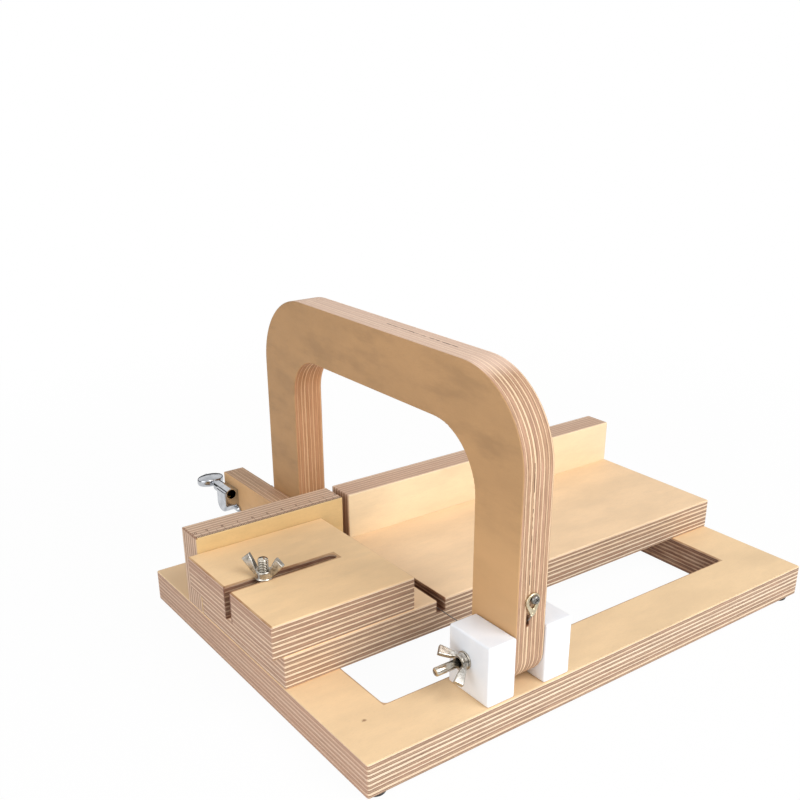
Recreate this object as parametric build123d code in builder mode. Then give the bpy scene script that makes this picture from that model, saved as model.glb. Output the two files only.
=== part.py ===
import os
from math import asin, cos, radians, sin

from build123d import *

os.makedirs("parts", exist_ok=True)

# Soap cutter in plywood: a bed on an open base, two fences with a gap for the wire,
# a sliding stop block, and an arch that swings on a bolt and carries a tightened wire.
# Millimetres. +X runs along the bed, +Y away from the user and +Z up from the table.
# The origin is on the table, in the middle of the footprint.

# Fits
cut_over = 1
move_gap = 0.3
turn_gap = 0.05
screw_gap = 0.1

# Base board with its window
board = 20
edge_ease = 0.8
base_length = 338
base_width = 241.5
end_margin = 34.6
front_margin = 35.7
rear_margin = 30
window_corner = 3
base_corner = 1.5

# Rubber feet
foot_height = 3
foot_radius = 6.8
foot_taper = 0.8
foot_inset_x = 9
foot_inset_y = 8
foot_recess_radius = 4
foot_recess = 1.6

# Bed board with the groove that the wire sinks into
bed_setback = 75.5
bed_width = 97.6
groove_width = 6
groove_depth = 7.5

# Fences behind the bed
fence_thickness = 19.7
fence_height = 49.6
ruler_length = 100
wire_gap = 4.5

# Stop block with its slot
block_length = 90
block_overhang = 6.25
slot_width = 6.5
slot_length = 69.7

# Bolts, six millimetre thread at the stop and five at the pivot
stop_bolt_radius = 3
stop_hex_across = 10
stop_hex_height = 4
stop_bolt_inset = 16.7
stop_bolt_length = 48
pivot_bolt_radius = 2.5
pivot_hex_across = 8
pivot_hex_height = 3.5
pivot_bolt_length = 76
bolt_tip = 0.7
pivot_washer_radius = 5
pivot_washer_thickness = 1

# Wing nuts, given for six millimetres and scaled down for five
hub_base_radius = 5.3
hub_top_radius = 4.4
hub_height = 5
hub_rim = 1.3
wing_tip_radius = 10.9
wing_tip_height = 11.7
wing_breadth = 5.6
wing_thickness = 2.5
wing_lean = 48
wing_corner = 0.9
wing_soft = 0.5
pivot_nut_scale = 0.93
stop_nut_turn = 120.5
pivot_nut_turn = 37

# Pivot blocks, white plastic
pivot_block_thickness = 18
pivot_block_width = 32
pivot_block_height = 35
pivot_block_inset = 0.7
pivot_block_ease = 1.2
pivot_inset = 19.5
pivot_height = 19.6

# Arch
leg_width = 35
arch_length = 247
arch_height = 168
beam_depth = 35
front_outer_radius = 48
rear_outer_radius = 45
front_inner_radius = 35
rear_inner_radius = 25
arch_ease = 0.8

# Cutting wire, its two holes and its windings
wire_radius = 0.3
wire_height = 13
wire_hole_radius = 0.8
slant_hole_radius = 0.9
mouth_height = 6.6
mouth_depth = 2.2
entry_reach = 3.95
entry_bend = 2
exit_bend = 6
winding_turns = 2.5
winding_pitch = 1.1

# Anchor: an egg-shaped loop hung on a pan head screw on the front edge of the arch
anchor_rise = 34.4
loop_shift = 0.35
loop_drop = 1.3
loop_radius = 4.7
loop_hole_radius = 2.8
loop_tip_radius = 1.8
loop_tip_reach = 6.5
loop_hole_tip_radius = 0.9
loop_hole_tip_reach = 3.1
loop_thickness = 1.5
loop_soft = 0.4
barrel_lean = 38
barrel_radius = 1
barrel_length = 2.2
anchor_head_radius = 2.5
anchor_head_height = 1.8
anchor_shank_radius = 1.4
anchor_length = 18
cross_width = 0.7
cross_length = 2.8
cross_depth = 0.9

# Tuner bar, a short plywood bar on the rear leg
bar_thickness = 15.2
bar_height = 23
bar_length = 82.5
bar_lead = 2.5
bar_lift = 10
bar_ease = 0.5

# Tuner, a guitar machine head with a worm and a gear
post_inset = 14
post_radius = 3
post_past_wire = 6
case_radius = 6.75
case_thickness = 10.3
case_soft = 1.6
worm_out = 5.6
worm_rise = 7.8
worm_radius = 1.7
worm_recess = 3.5
tube_radius = 4
tube_bore = 3.3
tube_front = 7.5
tube_rear = 12
collar_radius = 3.1
collar_length = 2.4
gear_radius = 5.9
gear_root_radius = 4.7
gear_teeth = 14
gear_thickness = 4
gear_room = 0.4
shaft_radius = 2
shaft_in_button = 6
button_reach = 25.2
button_length = 19.5
button_depth = 13.5
button_thickness = 6.2
button_soft = 1.4
button_screw_radius = 2.2
button_screw_head = 0.9
button_screw_length = 3.6
sleeve_radius = 4.8
sleeve_length = 11
bush_radius = 3.8
bush_length = 9
bush_hex = 10
bush_hex_height = 2.4
washer_radius = 6.8
washer_thickness = 0.8
ear_radius = 2.4
ear_reach = 7.6
ear_drop = 4.7
ear_thickness = 1.4
small_screw_radius = 1.1
small_screw_head = 1.9
small_screw_head_height = 1.1
small_screw_length = 9

# Countersunk wood screws
head_radius = 3.9
head_depth = 3
shank_radius = 1.9
point_length = 3
bed_screw_length = 35
fence_screw_length = 45
fence_end_screw_length = 50
block_screw_length = 31
bar_screw_length = 31
foot_screw_length = 12
foot_screw_head = 1.2
foot_screw_head_radius = 3
bed_screw_inset = 16
block_screw_spacing = 18
bar_screw_spacing = 17
bar_screw_rise = 14
ruler_screw_shares = (0.22, 0.78)
back_screw_shares = (0.12, 0.5, 0.88)

# Places along X, worked out from the ends so that the footprint is centred
left_end = (block_overhang - base_length) / 2
right_end = left_end + base_length
wire_x = left_end + ruler_length + wire_gap / 2
block_left = left_end - block_overhang
block_right = block_left + block_length

# Places along Y, counted from the front edge of the base
arch_inset = pivot_inset - leg_width / 2
front_reach = arch_inset - loop_thickness - anchor_head_height
bar_inset = arch_inset + arch_length - leg_width - bar_lead
post_reach = bar_inset + bar_length - post_inset
rear_reach = post_reach + button_reach + button_depth / 2 + button_screw_head
base_front = -(front_reach + rear_reach) / 2
base_rear = base_front + base_width
bed_front = base_front + bed_setback
bed_rear = bed_front + bed_width
fence_rear = bed_rear + fence_thickness
pivot_y = base_front + pivot_inset
pivot_block_y = base_front + pivot_block_inset + pivot_block_width / 2
arch_front = base_front + arch_inset
arch_rear = arch_front + arch_length
front_leg_inner = arch_front + leg_width
rear_leg_inner = arch_rear - leg_width
bar_front = base_front + bar_inset
bar_rear = bar_front + bar_length
post_y = base_front + post_reach

# Places along Z
base_bottom = foot_height
base_top = base_bottom + board
bed_top = base_top + board
block_top = bed_top + board
pivot_z = base_top + pivot_height
arch_top = base_top + arch_height
wire_z = base_top + wire_height
winding_radius = post_radius + move_gap + wire_radius
post_z = wire_z + winding_radius
bar_bottom = base_top + bar_lift
worm_z = post_z + worm_rise

# Places of the boards' sides
arch_left = wire_x - board / 2
arch_right = wire_x + board / 2
bar_left = arch_left - bar_thickness
worm_x = bar_left - worm_out
anchor_z = pivot_z + anchor_rise
stop_bolt_x = left_end + stop_bolt_inset
stop_bolt_y = bed_front + bed_width / 2


def side_of(seat):
    # The half plane through the seat's axis: its x is the radius, its y runs along the axis
    return Plane(seat.origin, x_dir=seat.x_dir, z_dir=-seat.y_dir)


def slab(low, high, ease):
    # A board between two corners, all edges eased
    with BuildPart() as piece:
        with BuildSketch(Plane.XY.offset(low[2])):
            with Locations(((low[0] + high[0]) / 2, (low[1] + high[1]) / 2)):
                Rectangle(high[0] - low[0], high[1] - low[1])
        extrude(amount=high[2] - low[2])
        fillet(piece.edges(), ease)
    return piece.part


def wood_screw(seat, length, gap=0):
    # A countersunk screw whose head is flush with the seat and whose point is along its z
    with BuildPart() as screw:
        with BuildSketch(side_of(seat)):
            with BuildLine():
                Polyline(
                    (0, 0),
                    (head_radius + gap, 0),
                    (shank_radius + gap, head_depth),
                    (shank_radius + gap, length - point_length),
                    (0, length + gap),
                    close=True,
                )
            make_face()
        revolve(axis=Axis(seat.origin, seat.z_dir))
    return screw.part


def round_bar(seat, radius, length):
    # A plain round pin from the seat along its z
    with BuildPart() as pin:
        with BuildSketch(seat):
            Circle(radius)
        extrude(amount=length)
    return pin.part


def hex_bolt(seat, radius, across, height, length):
    # The seat is under the head, with z along the shank
    with BuildPart() as bolt:
        with BuildSketch(seat):
            Circle(radius)
        extrude(amount=length)
        tip = bolt.edges().sort_by(Axis(seat.origin, seat.z_dir))[-1]
        chamfer(tip, bolt_tip)
        with BuildSketch(seat):
            RegularPolygon(across / 2, 6, major_radius=False)
        extrude(amount=-height)
    return bolt.part


def wing_nut(seat, radius, scale):
    # The seat is on the face that the nut presses, z along the bolt and x along the wings
    lean = radians(wing_lean)
    half = scale * wing_breadth / 2
    tip = (scale * wing_tip_radius, scale * wing_tip_height)
    outer_tip = (tip[0] + half * sin(lean), tip[1] - half * cos(lean))
    inner_tip = (tip[0] - half * sin(lean), tip[1] + half * cos(lean))
    root = radius + turn_gap + scale * wing_thickness / 4
    base, top = scale * hub_base_radius, scale * hub_top_radius
    rim, height = scale * hub_rim, scale * hub_height
    with BuildPart() as nut:
        with BuildSketch(side_of(seat)):
            with BuildLine():
                Polyline(
                    (root, rim),
                    (top, rim),
                    outer_tip,
                    inner_tip,
                    (top, height - wing_soft),
                    (root, height - wing_soft),
                    close=True,
                )
            make_face()
            fillet(vertices().sort_by(Axis.Y)[-1], wing_corner)
            fillet(vertices().sort_by(Axis.X)[-1], wing_corner)
            mirror(about=Plane.YZ)
        extrude(amount=scale * wing_thickness / 2, both=True)
        fillet(nut.faces().filter_by(Axis(seat.origin, seat.y_dir)).edges(), wing_soft)
        with BuildSketch(side_of(seat)):
            with BuildLine():
                Polyline((0, 0), (base, 0), (base, rim), (top, height), (0, height), close=True)
            make_face()
        revolve(axis=Axis(seat.origin, seat.z_dir))
        with BuildSketch(seat):
            Circle(radius + turn_gap)
        extrude(amount=height, mode=Mode.SUBTRACT)
    return nut.part


def egg(seat, radius, tip_reach, tip_radius, thickness):
    # A plate of two circles, the smaller one below, with straight flanks that touch both
    tilt = asin((radius - tip_radius) / tip_reach)
    across, along = cos(tilt), -sin(tilt)
    with BuildPart() as plate:
        with BuildSketch(seat):
            Circle(radius)
            with Locations((0, -tip_reach)):
                Circle(tip_radius)
            with BuildLine():
                Polyline(
                    (radius * across, radius * along),
                    (tip_radius * across, tip_radius * along - tip_reach),
                    (-tip_radius * across, tip_radius * along - tip_reach),
                    (-radius * across, radius * along),
                    close=True,
                )
            make_face()
        extrude(amount=thickness)
    return plate.part


# Seats of the screws, each with its z into the wood
up = Vector(0, 0, 1)
back = Vector(0, 1, 0)
left = Vector(-1, 0, 0)


def seats(places, direction, x_dir):
    return [Plane(place, x_dir=x_dir, z_dir=direction) for place in places]


end_screw_x = (left_end + end_margin / 2, right_end - end_margin / 2)
fence_y = bed_rear + fence_thickness / 2
bed_seats = seats(
    [
        (x, y, base_bottom)
        for x in end_screw_x
        for y in (bed_front + bed_screw_inset, bed_rear - bed_screw_inset)
    ],
    up,
    back,
)
fence_end_seats = seats([(x, fence_y, base_bottom) for x in end_screw_x], up, back)
ruler_start = left_end
back_fence_left = wire_x + wire_gap / 2
back_fence_length = right_end - back_fence_left
fence_screw_x = [ruler_start + ruler_length * share for share in ruler_screw_shares]
fence_screw_x += [back_fence_left + back_fence_length * share for share in back_screw_shares]
fence_seats = seats([(x, fence_rear, base_top + board / 2) for x in fence_screw_x], -back, up)
block_centre_x = board / 2 + move_gap + pivot_block_thickness / 2
block_seats = seats(
    [
        (wire_x + way * block_centre_x, pivot_block_y + side * block_screw_spacing / 2, base_bottom)
        for way in (-1, 1)
        for side in (-1, 1)
    ],
    up,
    back,
)
bar_screw_y = (rear_leg_inner + arch_rear) / 2
bar_seats = seats(
    [
        (arch_right, bar_screw_y + side * bar_screw_spacing / 2, bar_bottom + bar_screw_rise)
        for side in (-1, 1)
    ],
    left,
    back,
)
foot_places = [
    (x, y)
    for x in (left_end + foot_inset_x, right_end - foot_inset_x)
    for y in (base_front + foot_inset_y, base_rear - foot_inset_y)
]
foot_seats = seats([(x, y, foot_recess) for x, y in foot_places], up, back)

# Bolt seats
stop_bolt_seat = Plane((stop_bolt_x, stop_bolt_y, base_top + stop_hex_height), z_dir=up)
pivot_bolt_right = wire_x + board / 2 + move_gap + pivot_block_thickness
pivot_bolt_seat = Plane((pivot_bolt_right, pivot_y, pivot_z), x_dir=back, z_dir=left)

# Base board: a frame of plywood with a window under the bed
with BuildPart() as base_board:
    with BuildSketch(Plane.XY.offset(base_bottom)):
        with Locations(((left_end + right_end) / 2, (base_front + base_rear) / 2)):
            RectangleRounded(base_length, base_width, base_corner)
        window_length = base_length - 2 * end_margin
        window_width = base_width - front_margin - rear_margin
        window_y = base_front + front_margin + window_width / 2
        with Locations(((left_end + right_end) / 2, window_y)):
            RectangleRounded(window_length, window_width, window_corner, mode=Mode.SUBTRACT)
    extrude(amount=board)
    fillet(base_board.faces().filter_by(Axis.Z).edges(), edge_ease)
    for seat in bed_seats:
        add(wood_screw(seat, bed_screw_length, screw_gap), mode=Mode.SUBTRACT)
    for seat in fence_end_seats:
        add(wood_screw(seat, fence_end_screw_length, screw_gap), mode=Mode.SUBTRACT)
    for seat in block_seats:
        add(wood_screw(seat, block_screw_length, screw_gap), mode=Mode.SUBTRACT)
    for seat in foot_seats:
        add(round_bar(seat, shank_radius + screw_gap, foot_screw_length + screw_gap), mode=Mode.SUBTRACT)
base_board.part.label = "base_board"

# Bed board with the wire groove across it and a hex pocket for the stop bolt's head
with BuildPart() as bed_board:
    add(slab((left_end, bed_front, base_top), (right_end, bed_rear, bed_top), edge_ease))
    with BuildSketch(Plane.XY.offset(bed_top - groove_depth)):
        with Locations((wire_x, (bed_front + bed_rear) / 2)):
            Rectangle(groove_width, bed_width + cut_over)
    extrude(amount=groove_depth + cut_over, mode=Mode.SUBTRACT)
    with BuildSketch(stop_bolt_seat):
        RegularPolygon(stop_hex_across / 2 + screw_gap, 6, major_radius=False)
    extrude(amount=-stop_hex_height, mode=Mode.SUBTRACT)
    add(round_bar(stop_bolt_seat, stop_bolt_radius + screw_gap, board), mode=Mode.SUBTRACT)
    for seat in bed_seats:
        add(wood_screw(seat, bed_screw_length, screw_gap), mode=Mode.SUBTRACT)
    for seat in fence_seats:
        add(wood_screw(seat, fence_screw_length, screw_gap), mode=Mode.SUBTRACT)
bed_board.part.label = "bed_board"

# Ruler fence, left of the wire
with BuildPart() as ruler_fence:
    ruler_end = ruler_start + ruler_length
    fence_top = base_top + fence_height
    add(slab((ruler_start, bed_rear, base_top), (ruler_end, fence_rear, fence_top), edge_ease))
    for seat in fence_end_seats[:1]:
        add(wood_screw(seat, fence_end_screw_length, screw_gap), mode=Mode.SUBTRACT)
    for seat in fence_seats[: len(ruler_screw_shares)]:
        add(wood_screw(seat, fence_screw_length, screw_gap), mode=Mode.SUBTRACT)
ruler_fence.part.label = "ruler_fence"

# Back fence, right of the wire
with BuildPart() as back_fence:
    add(slab((back_fence_left, bed_rear, base_top), (right_end, fence_rear, fence_top), edge_ease))
    for seat in fence_end_seats[1:]:
        add(wood_screw(seat, fence_end_screw_length, screw_gap), mode=Mode.SUBTRACT)
    for seat in fence_seats[len(ruler_screw_shares):]:
        add(wood_screw(seat, fence_screw_length, screw_gap), mode=Mode.SUBTRACT)
back_fence.part.label = "back_fence"

# Stop block, open slot from its left end
with BuildPart() as stop_block:
    block_rear = bed_rear - move_gap
    add(slab((block_left, bed_front, bed_top), (block_right, block_rear, block_top), edge_ease))
    with BuildSketch(Plane.XY.offset(bed_top)):
        with Locations((block_left + slot_length / 2 - slot_width / 2, stop_bolt_y)):
            SlotOverall(slot_length + slot_width, slot_width)
    extrude(amount=board, mode=Mode.SUBTRACT)
stop_block.part.label = "stop_block"

# Stop bolt: head in the bed's pocket, thread up through the slot
stop_bolt = hex_bolt(
    stop_bolt_seat, stop_bolt_radius, stop_hex_across, stop_hex_height, stop_bolt_length
)
stop_bolt.label = "stop_bolt"

# Wing nut on the stop block
stop_wings = Vector(1, 0, 0).rotate(Axis.Z, stop_nut_turn)
stop_nut_seat = Plane(
    (stop_bolt_x, stop_bolt_y, block_top + move_gap), x_dir=stop_wings, z_dir=up
)
stop_wing_nut = wing_nut(stop_nut_seat, stop_bolt_radius, 1)
stop_wing_nut.label = "stop_wing_nut"

# Pivot blocks, one each side of the arch's front leg
pivot_blocks = []
for way, name in ((-1, "left_pivot_block"), (1, "right_pivot_block")):
    centre_x = wire_x + way * block_centre_x
    with BuildPart() as pivot_block:
        with BuildSketch(Plane.XY.offset(base_top)):
            with Locations((centre_x, pivot_block_y)):
                Rectangle(pivot_block_thickness, pivot_block_width)
        extrude(amount=pivot_block_height)
        fillet(pivot_block.edges(), pivot_block_ease)
        bore_seat = Plane((centre_x + pivot_block_thickness, pivot_y, pivot_z), x_dir=back, z_dir=left)
        bore = round_bar(bore_seat, pivot_bolt_radius + turn_gap, 2 * pivot_block_thickness)
        add(bore, mode=Mode.SUBTRACT)
        for seat in block_seats:
            add(wood_screw(seat, block_screw_length, screw_gap), mode=Mode.SUBTRACT)
    pivot_block.part.label = name
    pivot_blocks.append(pivot_block.part)

# Pivot bolt through the blocks and the leg
pivot_bolt = hex_bolt(
    pivot_bolt_seat, pivot_bolt_radius, pivot_hex_across, pivot_hex_height, pivot_bolt_length
)
pivot_bolt.label = "pivot_bolt"

# Washer and wing nut on the left pivot block
pivot_washer_face = wire_x - board / 2 - move_gap - pivot_block_thickness
with BuildPart() as pivot_washer:
    with BuildSketch(Plane((pivot_washer_face, pivot_y, pivot_z), x_dir=back, z_dir=left)):
        Circle(pivot_washer_radius)
        Circle(pivot_bolt_radius + screw_gap, mode=Mode.SUBTRACT)
    extrude(amount=pivot_washer_thickness)
pivot_washer.part.label = "pivot_washer"

pivot_wings = back.rotate(Axis.X, pivot_nut_turn)
pivot_nut_face = pivot_washer_face - pivot_washer_thickness - move_gap
pivot_nut_seat = Plane((pivot_nut_face, pivot_y, pivot_z), x_dir=pivot_wings, z_dir=left)
pivot_wing_nut = wing_nut(pivot_nut_seat, pivot_bolt_radius, pivot_nut_scale)
pivot_wing_nut.label = "pivot_wing_nut"

# The wire's way: out of the loop's barrel, through the front leg on a slant, along the
# groove, through the rear leg and round the tuner's post
lean_x = -sin(radians(barrel_lean))
lean_z = -cos(radians(barrel_lean))
barrel_y = arch_front - barrel_radius - screw_gap
wire_start = (wire_x - loop_shift, barrel_y, anchor_z - loop_drop - loop_tip_reach)
wire_entry = (wire_start[0] + lean_x * entry_reach, barrel_y, wire_start[2] + lean_z * entry_reach)
slant_exit = (wire_x, front_leg_inner + wire_hole_radius, wire_z)
slant = Vector(*slant_exit) - Vector(*wire_entry)

# Cutting wire
with BuildPart() as cutting_wire:
    with BuildLine() as wire_run:
        FilletPolyline(
            wire_start,
            wire_entry,
            slant_exit,
            (wire_x, post_y, post_z - winding_radius),
            radius=[entry_bend, exit_bend],
        )
        half_turns = int(2 * winding_turns)
        for turn in range(half_turns):
            low = -1 if turn % 2 == 0 else 1
            start_x = wire_x + turn * winding_pitch / 2
            end_x = start_x + winding_pitch / 2
            ThreePointArc(
                (start_x, post_y, post_z + low * winding_radius),
                ((start_x + end_x) / 2, post_y - low * winding_radius, post_z),
                (end_x, post_y, post_z - low * winding_radius),
            )
    with BuildSketch(Plane(wire_run.line @ 0, z_dir=wire_run.line % 0)):
        Circle(wire_radius)
    sweep(path=wire_run.line)
cutting_wire.part.label = "cutting_wire"

# Anchor ring: the egg-shaped loop, with a short barrel at its tip
with BuildPart() as anchor_ring:
    loop_seat = Plane(
        (wire_x - loop_shift, arch_front, anchor_z - loop_drop), x_dir=(1, 0, 0), z_dir=-back
    )
    add(egg(loop_seat, loop_radius, loop_tip_reach, loop_tip_radius, loop_thickness))
    hole = egg(loop_seat, loop_hole_radius, loop_hole_tip_reach, loop_hole_tip_radius, loop_thickness)
    add(hole, mode=Mode.SUBTRACT)
    fillet(anchor_ring.faces().sort_by(Axis.Y)[0].edges(), loop_soft)
    barrel_seat = Plane(wire_start, x_dir=back, z_dir=(lean_x, 0, lean_z))
    with BuildSketch(barrel_seat):
        Circle(barrel_radius)
    extrude(amount=barrel_length)
    with BuildSketch(barrel_seat.offset(-cut_over)):
        Circle(wire_radius + turn_gap)
    extrude(amount=barrel_length + 2 * cut_over, mode=Mode.SUBTRACT)
anchor_ring.part.label = "anchor_ring"

# Anchor screw, pan head with a cross
anchor_seat = Plane((wire_x, arch_front - loop_thickness, anchor_z), x_dir=(1, 0, 0), z_dir=back)
with BuildPart() as anchor_screw:
    with BuildSketch(side_of(anchor_seat)):
        with BuildLine():
            Line((0, -anchor_head_height), (anchor_head_radius / 2, -anchor_head_height))
            ThreePointArc(
                (anchor_head_radius / 2, -anchor_head_height),
                (anchor_head_radius * 0.9, -anchor_head_height * 0.65),
                (anchor_head_radius, 0),
            )
            Polyline(
                (anchor_head_radius, 0),
                (anchor_shank_radius, 0),
                (anchor_shank_radius, anchor_length - point_length),
                (0, anchor_length),
                (0, -anchor_head_height),
            )
        make_face()
    revolve(axis=Axis(anchor_seat.origin, anchor_seat.z_dir))
    with BuildSketch(anchor_seat.offset(-anchor_head_height)):
        Rectangle(cross_length, cross_width)
        Rectangle(cross_width, cross_length)
    extrude(amount=cross_depth, mode=Mode.SUBTRACT)
anchor_screw.part.label = "anchor_screw"

# Arch: one piece of plywood, its front leg rounded about the pivot
with BuildPart() as arch:
    with BuildSketch(Plane.YZ.offset(arch_left)):
        with BuildLine():
            Polyline(
                (arch_front, pivot_z),
                (arch_front, arch_top),
                (arch_rear, arch_top),
                (arch_rear, base_top + move_gap),
                (rear_leg_inner, base_top + move_gap),
                (rear_leg_inner, arch_top - beam_depth),
                (front_leg_inner, arch_top - beam_depth),
                (front_leg_inner, pivot_z),
                close=True,
            )
        make_face()
        fillet(vertices().group_by(Axis.Y)[-2].sort_by(Axis.X)[0], front_inner_radius)
        fillet(vertices().group_by(Axis.Y)[-2].sort_by(Axis.X)[-1], rear_inner_radius)
        fillet(vertices().group_by(Axis.Y)[-1].sort_by(Axis.X)[0], front_outer_radius)
        fillet(vertices().group_by(Axis.Y)[-1].sort_by(Axis.X)[-1], rear_outer_radius)
        with Locations((pivot_y, pivot_z)):
            Circle(leg_width / 2)
    extrude(amount=board)
    fillet(arch.faces().filter_by(Axis.X).edges(), arch_ease)
    leg_bore_seat = Plane((arch_right + cut_over, pivot_y, pivot_z), x_dir=back, z_dir=left)
    leg_bore = round_bar(leg_bore_seat, pivot_bolt_radius + turn_gap, board + 2 * cut_over)
    add(leg_bore, mode=Mode.SUBTRACT)
    slant_seat = Plane(Vector(*wire_entry) - slant.normalized() * cut_over, z_dir=slant)
    slant_hole = round_bar(slant_seat, slant_hole_radius, slant.length + 3 * cut_over)
    add(slant_hole, mode=Mode.SUBTRACT)
    mouth_share = (arch_front - barrel_y) / slant.Y
    mouth_x = wire_entry[0] + slant.X * mouth_share
    mouth_z = wire_entry[2] + slant.Z * mouth_share
    with BuildSketch(Plane((mouth_x, arch_front - cut_over, mouth_z), x_dir=up, z_dir=back)):
        SlotOverall(mouth_height, 2 * slant_hole_radius)
    extrude(amount=mouth_depth + cut_over, mode=Mode.SUBTRACT)
    rear_hole_seat = Plane((wire_x, rear_leg_inner - cut_over, wire_z), x_dir=up, z_dir=back)
    rear_hole = round_bar(rear_hole_seat, wire_hole_radius, leg_width + 2 * cut_over)
    add(rear_hole, mode=Mode.SUBTRACT)
    anchor_hole_seat = Plane((wire_x, arch_front - cut_over, anchor_z), x_dir=up, z_dir=back)
    anchor_hole = round_bar(anchor_hole_seat, anchor_shank_radius + screw_gap, anchor_length + screw_gap)
    add(anchor_hole, mode=Mode.SUBTRACT)
    for seat in bar_seats:
        add(wood_screw(seat, bar_screw_length, screw_gap), mode=Mode.SUBTRACT)
arch.part.label = "arch"

# Tuner bar, with the hole for the tuner's sleeve
with BuildPart() as tuner_bar:
    bar_low = (bar_left, bar_front, bar_bottom)
    bar_high = (arch_left, bar_rear, bar_bottom + bar_height)
    add(slab(bar_low, bar_high, bar_ease))
    post_seat = Plane((arch_left + cut_over, post_y, post_z), x_dir=back, z_dir=left)
    sleeve_hole = round_bar(post_seat, sleeve_radius + screw_gap, bar_thickness + 2 * cut_over)
    add(sleeve_hole, mode=Mode.SUBTRACT)
    for seat in bar_seats:
        add(wood_screw(seat, bar_screw_length, screw_gap), mode=Mode.SUBTRACT)
    ear_y = post_y - ear_reach
    ear_z = post_z - ear_drop
    small_seat = Plane((bar_left - ear_thickness, ear_y, ear_z), x_dir=back, z_dir=-left)
    small_hole = round_bar(small_seat, small_screw_radius + turn_gap, small_screw_length + screw_gap)
    add(small_hole, mode=Mode.SUBTRACT)
tuner_bar.part.label = "tuner_bar"

# Tuner housing: a round gear case, a tube for the worm and a threaded sleeve into the bar
case_plane = Plane((bar_left, post_y, post_z), x_dir=-back, z_dir=left)
tube_seat = Plane((worm_x, post_y - tube_front, worm_z), x_dir=up, z_dir=back)
with BuildPart() as tuner_housing:
    with BuildSketch(case_plane):
        Circle(case_radius)
        with Locations((0, worm_rise / 2)):
            Rectangle(2 * case_radius, worm_rise)
        with Locations((0, worm_rise)):
            Rectangle(2 * case_radius, tube_radius)
    extrude(amount=case_thickness)
    outer_rim = tuner_housing.faces().sort_by(Axis.X)[0].edges()
    fillet(outer_rim, case_soft)
    with BuildSketch(tube_seat):
        Circle(tube_radius)
    extrude(amount=tube_front + tube_rear)
    with BuildSketch(tube_seat.offset(tube_front + tube_rear)):
        Circle(collar_radius)
    extrude(amount=collar_length)
    with BuildSketch(case_plane):
        with Locations((ear_reach, -ear_drop)):
            Circle(ear_radius)
        with Locations((ear_reach / 2, -ear_drop)):
            Rectangle(ear_reach, 2 * ear_radius)
    extrude(amount=ear_thickness)
    with BuildSketch(case_plane):
        Circle(sleeve_radius)
    extrude(amount=-sleeve_length)
    with BuildSketch(case_plane.offset(worm_out - gear_thickness / 2 - gear_room)):
        Circle(gear_radius + gear_room)
    extrude(amount=gear_thickness + 2 * gear_room, mode=Mode.SUBTRACT)
    with BuildSketch(tube_seat):
        Circle(tube_bore)
    extrude(amount=tube_front + tube_rear - collar_length, mode=Mode.SUBTRACT)
    with BuildSketch(tube_seat):
        Circle(shaft_radius + turn_gap)
    extrude(amount=tube_front + tube_rear + collar_length, mode=Mode.SUBTRACT)
    with BuildSketch(case_plane):
        Circle(post_radius + turn_gap)
    extrude(amount=worm_out, mode=Mode.SUBTRACT)
    with BuildSketch(case_plane.offset(-sleeve_length)):
        Circle(bush_radius + turn_gap)
    extrude(amount=sleeve_length, mode=Mode.SUBTRACT)
    with BuildSketch(case_plane):
        with Locations((ear_reach, -ear_drop)):
            Circle(small_screw_radius + turn_gap)
    extrude(amount=ear_thickness, mode=Mode.SUBTRACT)
tuner_housing.part.label = "tuner_housing"

# Small screw through the housing's ear
with BuildPart() as tuner_screw:
    with BuildSketch(side_of(small_seat)):
        with BuildLine():
            Polyline(
                (0, -small_screw_head_height),
                (small_screw_head / 2, -small_screw_head_height),
                (small_screw_head, 0),
                (small_screw_radius, 0),
                (small_screw_radius, small_screw_length - small_screw_head),
                (0, small_screw_length),
                close=True,
            )
        make_face()
    revolve(axis=Axis(small_seat.origin, small_seat.z_dir))
tuner_screw.part.label = "tuner_screw"

# Washer and hex bush on the bar's other side
bush_seat = Plane((arch_left, post_y, post_z), x_dir=back, z_dir=-left)
with BuildPart() as tuner_washer:
    with BuildSketch(bush_seat):
        Circle(washer_radius)
        Circle(bush_radius + screw_gap, mode=Mode.SUBTRACT)
    extrude(amount=washer_thickness)
tuner_washer.part.label = "tuner_washer"

with BuildPart() as tuner_bush:
    with BuildSketch(bush_seat.offset(washer_thickness)):
        RegularPolygon(bush_hex / 2, 6, major_radius=False)
    extrude(amount=bush_hex_height)
    with BuildSketch(bush_seat.offset(washer_thickness)):
        Circle(bush_radius)
    extrude(amount=-bush_length)
    with BuildSketch(bush_seat.offset(washer_thickness + bush_hex_height)):
        Circle(post_radius + turn_gap)
    extrude(amount=-(bush_length + bush_hex_height), mode=Mode.SUBTRACT)
tuner_bush.part.label = "tuner_bush"

# Post that winds the wire, with the gear pressed on its hidden end
gear_plane = case_plane.offset(worm_out - gear_thickness / 2)
post_length = worm_out + gear_thickness / 2 + bar_thickness + board / 2 + post_past_wire
with BuildPart() as tuner_post:
    with BuildSketch(case_plane.offset(worm_out + gear_thickness / 2)):
        Circle(post_radius)
    extrude(amount=-post_length)
    chamfer(tuner_post.edges().sort_by(Axis.X)[-1], bolt_tip)
tuner_post.part.label = "tuner_post"

with BuildPart() as tuner_gear:
    with BuildSketch(gear_plane):
        Circle(gear_radius)
        tooth_room = gear_radius - gear_root_radius
        notch = 2 * (gear_radius + gear_root_radius) / gear_teeth
        with PolarLocations(gear_radius, gear_teeth):
            Rectangle(2 * tooth_room, notch, mode=Mode.SUBTRACT)
        Circle(post_radius + turn_gap, mode=Mode.SUBTRACT)
    extrude(amount=gear_thickness)
tuner_gear.part.label = "tuner_gear"

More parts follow.
